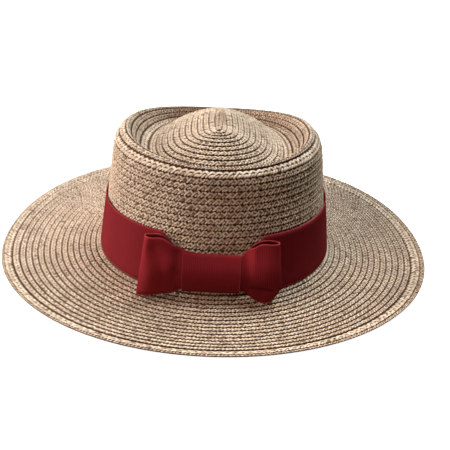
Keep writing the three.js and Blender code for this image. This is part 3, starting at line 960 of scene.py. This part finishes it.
def core_material(settings):
    """The braid's inner layer: painted shade, dark where the next row covers it and at its outer edge, and
    brown between the straws, a painted shade of the straw deeper in the braid.
    """
    material, nodes, shader = new_material("braid core")
    uv = nodes.add("ShaderNodeUVMap", uv_map="braid")
    split = nodes.add("ShaderNodeSeparateXYZ", {"Vector": uv.outputs[0]})
    fine = nodes.add("ShaderNodeMapping", {"Vector": uv.outputs[0], "Scale": (1.5, 12.0, 1.0)})
    noise = nodes.add("ShaderNodeTexNoise", {"Vector": fine.outputs[0], "Scale": 1.0, "Detail": 2.0})
    ragged = nodes.add("ShaderNodeMath", {1: 0.12}, operation="MULTIPLY_ADD")
    nodes.link(noise.outputs[0], ragged.inputs[0])
    nodes.link(split.outputs[1], ragged.inputs[2])
    # Painted shade: dark where the next row laps over and at the outer edge, brown between the straws.
    colour = colour_ramp(
        nodes,
        ragged.outputs[0],
        ((0.5, settings.seam), (0.58, settings.brown), (0.97, settings.brown), (1.0, settings.seam)),
    )
    nodes.link(colour, shader.inputs["Base Color"])
    shader.inputs["Roughness"].default_value = 0.8
    return material


def ribbon_material(settings):
    """Ribbed grosgrain with a low sheen, painted shade between the ribs and painted light by height; its
    woven edges are lighter, partly their own colour and partly a painted highlight, and its folds carry a
    painted highlight.
    """
    material, nodes, shader = new_material("crimson grosgrain")
    uv = nodes.add("ShaderNodeUVMap", uv_map="ribbon")
    split = nodes.add("ShaderNodeSeparateXYZ", {"Vector": uv.outputs[0]})
    turns = nodes.add("ShaderNodeMath", {1: 2 * math.pi / (settings.rib / MM)}, operation="MULTIPLY")
    nodes.link(split.outputs[0], turns.inputs[0])
    wave = nodes.add("ShaderNodeMath", operation="COSINE")
    nodes.link(turns.outputs[0], wave.inputs[0])
    rib = nodes.add("ShaderNodeMapRange", {"Value": wave.outputs[0], "From Min": -1.0, "From Max": 1.0})
    fine = nodes.add("ShaderNodeMapping", {"Vector": uv.outputs[0], "Scale": (2.0, 0.6, 1.0)})
    noise = nodes.add("ShaderNodeTexNoise", {"Vector": fine.outputs[0], "Scale": 1.6, "Detail": 4.0})
    uneven = nodes.add("ShaderNodeMath", {1: 0.55}, operation="MULTIPLY")
    nodes.link(noise.outputs[0], uneven.inputs[0])
    mixed = nodes.add("ShaderNodeMath", {1: 0.45}, operation="MULTIPLY_ADD")
    nodes.link(rib.outputs[0], mixed.inputs[0])
    nodes.link(uneven.outputs[0], mixed.inputs[2])
    # Painted shade between the ribs, mixed with an uneven mottle of the ribbon's own.
    colour = colour_ramp(nodes, mixed.outputs[0], ((0.1, settings.crimson_groove_shade), (0.75, settings.crimson)))
    # Painted light of each piece: painted shade low on the bow, over the band and on the reverse, a painted
    # highlight high on the bow.
    tone_and_painted_light = nodes.add("ShaderNodeAttribute", attribute_name="tone_and_painted_light")
    both = nodes.add("ShaderNodeVectorMath", operation="SCALE")
    nodes.link(colour, both.inputs[0])
    nodes.link(tone_and_painted_light.outputs["Fac"], both.inputs["Scale"])
    # Painted highlight on the woven edges, partly their own lighter colour, and on the folds.
    edges = nodes.add("ShaderNodeUVMap", uv_map="selvage_and_highlight")
    edge = nodes.add("ShaderNodeSeparateXYZ", {"Vector": edges.outputs[0]})
    selvage_and_highlight_mask = nodes.add(
        "ShaderNodeMapRange",
        {"Value": edge.outputs[0], "From Min": 0.3, "From Max": 0.75, "To Min": 1.0, "To Max": 0.0},
    )
    edge_and_fold_highlight_mask = nodes.add("ShaderNodeMath", {0: selvage_and_highlight_mask.outputs[0], 1: edge.outputs[1]}, operation="MAXIMUM")
    highlight_share = nodes.add("ShaderNodeMath", {0: edge_and_fold_highlight_mask.outputs[0], 1: 0.7}, operation="MULTIPLY")
    selvage_and_highlight_colour = nodes.add(
        "ShaderNodeMix", {0: highlight_share.outputs[0], 7: (*settings.crimson_edge_and_highlight, 1.0)}, data_type="RGBA"
    )
    nodes.link(both.outputs[0], selvage_and_highlight_colour.inputs[6])
    nodes.link(selvage_and_highlight_colour.outputs[2], shader.inputs["Base Color"])
    shader.inputs["Roughness"].default_value = 0.8
    shader.inputs["Specular IOR Level"].default_value = 0.03
    return material


# ---------------------------------------------------------------- ribbon


def strip_object(name, settings, rows, painted_light_tones, upright=False, folded=False):
    """A closed strip of ribbed ribbon.

    Rows are lines across it from the top edge to the lower one, and follow each other to the
    right as its face is looked at. The painted light tones are those of its face, low and high, as
    factors on its colour; its reverse gets painted shade. The woven edges, lighter partly by their
    own colour and partly by a painted highlight, are its top and lower ones, or, of an upright
    strip, those at its left and right. A folded strip also has a painted highlight at its fold,
    where it lies farthest from the middle.
    """
    thick = settings.thickness / MM
    normal = unit(np.cross(np.gradient(rows, axis=1), np.gradient(rows, axis=0)))
    steps = np.linalg.norm(np.diff(rows.mean(axis=1), axis=0), axis=1)
    lengths = np.concatenate([[0], np.cumsum(steps)])
    wave = 0.5 * np.cos(2 * np.pi * lengths / (settings.rib / MM)) - 0.5
    front = rows + normal * (wave * settings.rib_depth / MM)[:, None, None]
    back = rows - normal * thick
    count, high = rows.shape[:2]
    around = 2 * high
    section = np.concatenate([front, back[:, ::-1]], axis=1)
    cap = np.array([(j, j + 1, around - 2 - j, around - 1 - j) for j in range(high - 1)])
    end = (count - 1) * around
    made = mesh_object(
        name, section.reshape(-1, 3), tube_faces(count, around), cap[:, ::-1], cap + end
    )
    widths = np.linalg.norm(np.diff(rows, axis=1), axis=2).mean(axis=0)
    down = np.concatenate([[0], np.cumsum(widths)])
    down = np.broadcast_to(np.concatenate([down, down[::-1]]), (count, around))
    along = np.broadcast_to(lengths[:, None], down.shape)
    uv_from(made, "ribbon", np.stack([along, down], -1).reshape(-1, 2))
    # Painted light by height: painted shade low down, a painted highlight high up; the reverse gets painted
    # shade.
    tone_and_painted_light = np.interp(section[..., 2], FOOT_HEIGHT + np.array(PAINTED_LIGHT_HEIGHTS), painted_light_tones)
    tone_and_painted_light[:, high:] = REVERSE_PAINTED_SHADE
    layer = made.data.attributes.new("tone_and_painted_light", "FLOAT", "POINT")
    layer.data.foreach_set("value", tone_and_painted_light.astype(np.float32).ravel())
    # Distance from the woven edges, lighter partly by their own colour and partly by a painted highlight, and
    # a painted highlight along the fold.
    if upright:
        inset = np.broadcast_to(np.minimum(lengths, lengths[-1] - lengths)[:, None], down.shape)
    else:
        inset = np.minimum(down, down.max() - down)
    fold_highlight = np.zeros(down.shape)
    if folded:
        fold_highlight[np.argmax(np.abs(rows[:, 0, 0]))] = 1.0
    uv_from(made, "selvage_and_highlight", np.stack([inset, fold_highlight], -1).reshape(-1, 2))
    return made


def smooth_rows(rows, spacing):
    """Rows read smoothly at an even spacing along the strip."""
    middle = rows.mean(axis=1)
    knots = np.concatenate([[0], np.cumsum(np.linalg.norm(np.diff(middle, axis=0), axis=1))])
    places = np.linspace(0, knots[-1], int(knots[-1] / spacing) + 2)
    slopes = np.gradient(rows, knots, axis=0)
    i = np.clip(np.searchsorted(knots, places, side="left") - 1, 0, len(knots) - 2)
    span = (knots[i + 1] - knots[i])[:, None, None]
    t = (places - knots[i])[:, None, None] / span
    return (
        (2 * t**3 - 3 * t**2 + 1) * rows[i]
        + (t**3 - 2 * t**2 + t) * span * slopes[i]
        + (3 * t**2 - 2 * t**3) * rows[i + 1]
        + (t**3 - t**2) * span * slopes[i + 1]
    )


def filled(rows, *counts):
    """Rows with more points, laid evenly between those given."""
    parts = [rows[:, :1]]
    for j, count in enumerate(counts):
        t = (np.arange(1, count + 1) / count)[None, :, None]
        parts.append(rows[:, j : j + 1] * (1 - t) + rows[:, j + 1 : j + 2] * t)
    return np.concatenate(parts, axis=1)


def bow_front(height):
    """How far forward the front of the bow stands at its wrap."""
    heights, fronts = zip(*BOW_FRONT)
    return smooth_value(heights, fronts, np.clip(height, heights[0], heights[-1]))


def loop_rows(settings, table, side, puffs):
    """Lines across a loop, with its front puffed out and drawn in under the wrap."""
    rows = smooth_rows(np.array(table, float), settings.rib / MM / 2)
    front = np.arange(len(rows)) < np.argmax(rows[:, 0, 0])
    rows = filled(rows, *(PLAIN_FILL if rows.shape[1] == 2 else CREASED_FILL))
    share = np.linspace(0, 1, rows.shape[1])[None, :]
    near_fold = np.clip((rows[:, :, 0].max() - rows[:, :, 0]) / FOLD_REACH, 0, 1)
    lean = LOOP_LEAN * np.sin(np.pi * share) * near_fold
    for x, height, wide, high, out in puffs:
        off = ((rows[:, :, 0] - x) / wide) ** 2 + ((rows[:, :, 2] - height) / high) ** 2
        lean = lean + out * np.exp(-off)
    puffed = rows[:, :, 1] - lean
    free = np.clip((rows[:, :, 0] - LOOP_FREE) / FREE_REACH, 0, 1)
    free = free * free * (3 - 2 * free)
    drawn = puffed * free + (bow_front(rows[:, :, 2]) + UNDER_WRAP) * (1 - free)
    rows[:, :, 1] = np.where(front[:, None], drawn, rows[:, :, 1])
    rows[:, :, 0] *= side
    rows[:, :, 2] += FOOT_HEIGHT
    return rows if side > 0 else rows[::-1]


def gathered(x):
    t = np.clip((GATHER["outer"] - np.abs(x)) / (GATHER["outer"] - GATHER["inner"]), 0, 1)
    return t * t * (3 - 2 * t)


def band_rows(settings):
    """Lines across the band, round the crown from behind the bow's wrap."""
    middle = FACE.length_at_height(RIBBON_WIDTH / 2)
    fine = FRONT_SHARE + np.linspace(0, 1, 721)
    way = FACE.read(FACE.points, np.full(len(fine), middle), fine % 1)
    lengths = np.concatenate([[0], np.cumsum(np.linalg.norm(np.diff(way, axis=0), axis=1))])
    count = int(lengths[-1] / (settings.rib / MM / 2))
    stops = np.linspace(RIBBON_JOIN, lengths[-1] - RIBBON_JOIN, count)
    shares = np.interp(stops, lengths, fine) % 1
    plain = FACE.read(FACE.points, np.full(len(shares), middle), shares)
    drawn_in = np.where(plain[:, 1] < 0, gathered(plain[:, 0]), 0.0)[:, None]
    top = RIBBON_WIDTH - GATHER["top_drop"] * drawn_in
    bottom = RIBBON_LIFT + GATHER["bottom_rise"] * drawn_in
    down = np.linspace(0, 1, BAND_POINTS)[None, :]
    heights = top + (bottom - top) * down
    grid = np.broadcast_to(shares[:, None], heights.shape)
    points, _, _, normal = FACE.frame(FACE.length_at_height(heights), grid)
    angle = 2 * np.pi * grid
    slack = sum(depth * np.sin(n * angle + start + slant * down) for depth, n, start, slant in SLACK_WAVES)
    out = RIBBON_GAP + settings.thickness / MM + slack * (1 - 0.5 * down)
    return points + normal * out[..., None]


# ---------------------------------------------------------------- operators


def settings_of(context):
    return context.scene.straw_hat_straw, context.scene.straw_hat_ribbon, context.scene.straw_hat_stage


class HAT_OT_stage(Operator):
    """Makes the camera, the lights and the floor."""

    bl_idname = "straw_hat.stage"
    bl_label = "Stage"

    def execute(self, context):
        _, _, stage = settings_of(context)
        scene = context.scene
        target = np.array([0.0, 0.0, FOOT_HEIGHT * MM])
        e = stage.elevation
        camera_data = bpy.data.cameras.new("camera")
        camera_data.lens = stage.lens
        camera_data.sensor_width = 36.0
        camera_data.shift_x, camera_data.shift_y = stage.shift_x, stage.shift_y
        camera_data.clip_start = 0.01
        camera = bpy.data.objects.new("camera", camera_data)
        camera.location = target + stage.distance * np.array([0.0, -math.cos(e), math.sin(e)])
        looking = Matrix.Rotation(math.pi / 2 - e, 4, "X") @ Matrix.Rotation(stage.roll, 4, "Z")
        camera.rotation_euler = looking.to_euler()
        scene.collection.objects.link(camera)
        scene.camera = camera

        world = bpy.data.worlds.new("studio")
        world.use_nodes = True
        studio = NodeTree(world.node_tree)
        studio.tree.nodes.clear()
        around = studio.add(
            "ShaderNodeBackground", {"Color": (*stage.surround_colour, 1.0), "Strength": stage.surround}
        )
        seen = studio.add("ShaderNodeBackground", {"Color": (1, 1, 1, 1), "Strength": 1.0})
        path = studio.add("ShaderNodeLightPath")
        either = studio.add("ShaderNodeMixShader", {0: path.outputs["Is Camera Ray"]})
        studio.link(around.outputs[0], either.inputs[1])
        studio.link(seen.outputs[0], either.inputs[2])
        output = studio.add("ShaderNodeOutputWorld")
        studio.link(either.outputs[0], output.inputs["Surface"])
        scene.world = world
        scene.view_settings.view_transform = "Standard"

        for name, place, breadth, power, colour in SOFT_BOXES:
            box = bpy.data.lights.new(name, "AREA")
            box.size, box.energy, box.color = breadth, power, colour
            light = bpy.data.objects.new(name, box)
            light.location = place
            away = Vector(place) - Vector(LIGHT_AIM)
            light.rotation_euler = away.to_track_quat("Z", "Y").to_euler()
            scene.collection.objects.link(light)
        sun = bpy.data.lights.new("high light", "SUN")
        sun.energy, sun.color = HIGH_LIGHT["strength"], HIGH_LIGHT["colour"]
        sun.angle = math.radians(HIGH_LIGHT["breadth"])
        light = bpy.data.objects.new("high light", sun)
        light.rotation_euler = (math.radians(HIGH_LIGHT["height"] - 90), 0, math.radians(-HIGH_LIGHT["turn"]))
        scene.collection.objects.link(light)

        corners = FLOOR_REACH / MM * np.array([(-1, -1, 0), (1, -1, 0), (1, 1, 0), (-1, 1, 0)])
        floor = mesh_object("floor", corners, [(0, 1, 2, 3)], smooth=False)
        material, _, shader = new_material("pale floor")
        shader.inputs["Base Color"].default_value = (*stage.floor_colour, 1.0)
        shader.inputs["Roughness"].default_value = 0.9
        shader.inputs["Emission Color"].default_value = (1, 1, 1, 1)
        shader.inputs["Emission Strength"].default_value = stage.floor_glow
        floor.data.materials.append(material)
        floor.visible_diffuse = False
        floor.visible_glossy = False
        return {"FINISHED"}


class HAT_OT_braid(Operator):
    """Makes the crown and the brim from rows of plaited straw braid."""

    bl_idname = "straw_hat.braid"
    bl_label = "Straw braid"

    def execute(self, context):
        straw, _, _ = settings_of(context)
        layers = core_material(straw), underside_material(straw)
        corner = PATH.first_of["brim"] + 0.5
        for name, node, first, last in (
            ("crown_braid", "crown", PATH.start, corner),
            ("brim_braid", "brim", corner, PATH.end - BRAID_STOP),
        ):
            made = braid_core(name, straw, layers, first, last)
            finish_piece(made, "straw", node)
        wall, side, brim = (PATH.first_of[zone] for zone in ("inner wall", "side", "brim"))
        ribbon_top, brim_middle, end = side + SIDE_TURNS_SHOWN, brim + INNER_BRIM_TURNS, PATH.end - BRAID_STOP
        tree = plait_tree()
        shape = straw_shape(straw, straw_material(straw))
        for name, node, first, last in (
            ("dome_plait", "crown", PATH.start, wall),
            ("crest_plait", "crown", wall, side),
            ("side_plait", "crown", side, ribbon_top),
            ("foot_plait", "crown", brim - FOOT_TURNS_SHOWN, brim),
            ("inner_brim_plait", "brim", brim, brim_middle),
            ("outer_brim_plait", "brim", brim_middle, end),
        ):
            made = plait(name, straw, tree, shape, first, last)
            finish_piece(made, "straw", node)
        bpy.data.objects.remove(shape, do_unlink=True)
        return {"FINISHED"}


class HAT_OT_band(Operator):
    """Makes the ribbon round the foot of the crown."""

    bl_idname = "straw_hat.band"
    bl_label = "Ribbon band"

    def execute(self, context):
        _, ribbon, _ = settings_of(context)
        rows = band_rows(ribbon)
        made = strip_object("hat_ribbon", ribbon, rows, PAINTED_LIGHT_TONES["band"])
        made.data.materials.append(ribbon_material(ribbon))
        finish_piece(made, "ribbon", "hat_band")
        return {"FINISHED"}


class HAT_OT_bow(Operator):
    """Makes the two loops of the bow and the wrap over their middle."""

    bl_idname = "straw_hat.bow"
    bl_label = "Bow"
    points_down = 31

    def execute(self, context):
        _, ribbon, _ = settings_of(context)
        material = bpy.data.materials.get("crimson grosgrain") or ribbon_material(ribbon)
        for which, table, side, puffs in (
            ("left", LEFT_LOOP, -1, LEFT_PUFFS),
            ("right", RIGHT_LOOP, 1, RIGHT_PUFFS),
        ):
            rows = loop_rows(ribbon, table, side, puffs)
            made = strip_object(f"{which}_loop", ribbon, rows, PAINTED_LIGHT_TONES[which], folded=True)
            made.data.materials.append(material)
            finish_piece(made, "ribbon", f"bow_loop_{which}")
        rows = self.wrap_rows(ribbon)
        made = strip_object("wrap_ribbon", ribbon, rows, PAINTED_LIGHT_TONES["wrap"], upright=True)
        made.data.materials.append(material)
        finish_piece(made, "ribbon", "bow_wrap")
        return {"FINISHED"}

    def wrap_rows(self, ribbon):
        """Upright lines across the wrap, each from behind its upper edge over the front and under."""
        wrap, rows = BOW_WRAP, []
        count = int(2 * wrap["half_width"] / (ribbon.rib / MM / 2))
        for across in np.linspace(-1, 1, count):
            x = wrap["middle"] + wrap["half_width"] * across
            low = wrap["bottom"]
            high = wrap["top"] + wrap["corner"] * np.clip((-across - 0.4) / 0.6, 0, 1) ** 2
            heights = np.linspace(high - 0.7, low + 0.9, 9)
            fronts = bow_front(heights)
            behind = high - wrap["tuck"]
            line = np.array(
                [
                    (self.straw_front(x, behind) - 0.6, behind),
                    (fronts[0] + 2.4, high - 0.4),
                    (fronts[0] + 1.0, high - 0.2),
                    *zip(fronts, heights),
                    (fronts[-1] + 1.4, low + 0.2),
                    (self.straw_front(x, low) - 0.6, low),
                ]
            )
            knots = np.concatenate([[0], np.cumsum(np.hypot(*np.diff(line, axis=0).T))])
            places = np.linspace(0, knots[-1], self.points_down)
            y, height = (smooth_value(knots, line[:, c], places) for c in (0, 1))
            rows.append(np.stack([np.full(len(places), x), y, FOOT_HEIGHT + height], axis=1))
        return np.array(rows)

    def straw_front(self, x, height):
        """How far forward the straw lies behind the bow."""
        shares = np.linspace(0.6, 0.9, 301)
        points = FACE.read(FACE.points, np.full(len(shares), FACE.length_at_height(height)), shares)
        return float(np.interp(x, points[:, 0], points[:, 1]))


class HAT_PT_panel(Panel):
    """Lists the hat's settings and the steps that build it."""

    bl_idname = "HAT_PT_panel"
    bl_label = "Straw hat"
    bl_space_type = "VIEW_3D"
    bl_region_type = "UI"
    bl_category = "Straw hat"

    def draw(self, context):
        for settings, operators in (
            (context.scene.straw_hat_straw, (HAT_OT_braid,)),
            (context.scene.straw_hat_ribbon, (HAT_OT_band, HAT_OT_bow)),
            (context.scene.straw_hat_stage, (HAT_OT_stage,)),
        ):
            box = self.layout.box()
            for name in settings.bl_rna.properties.keys():
                if name not in {"rna_type", "name"}:
                    box.prop(settings, name)
            for operator in operators:
                box.operator(operator.bl_idname)


CLASSES = (
    StrawSettings,
    RibbonSettings,
    StageSettings,
    HAT_OT_stage,
    HAT_OT_braid,
    HAT_OT_band,
    HAT_OT_bow,
    HAT_PT_panel,
)


def register():
    for cls in CLASSES:
        bpy.utils.register_class(cls)
    bpy.types.Scene.straw_hat_straw = PointerProperty(type=StrawSettings)
    bpy.types.Scene.straw_hat_ribbon = PointerProperty(type=RibbonSettings)
    bpy.types.Scene.straw_hat_stage = PointerProperty(type=StageSettings)


def unregister():
    del bpy.types.Scene.straw_hat_stage
    del bpy.types.Scene.straw_hat_ribbon
    del bpy.types.Scene.straw_hat_straw
    for cls in reversed(CLASSES):
        bpy.utils.unregister_class(cls)


def main():
    register()
    bpy.ops.straw_hat.stage()
    bpy.ops.straw_hat.braid()
    bpy.ops.straw_hat.band()
    bpy.ops.straw_hat.bow()


if __name__ == "__main__":
    main()
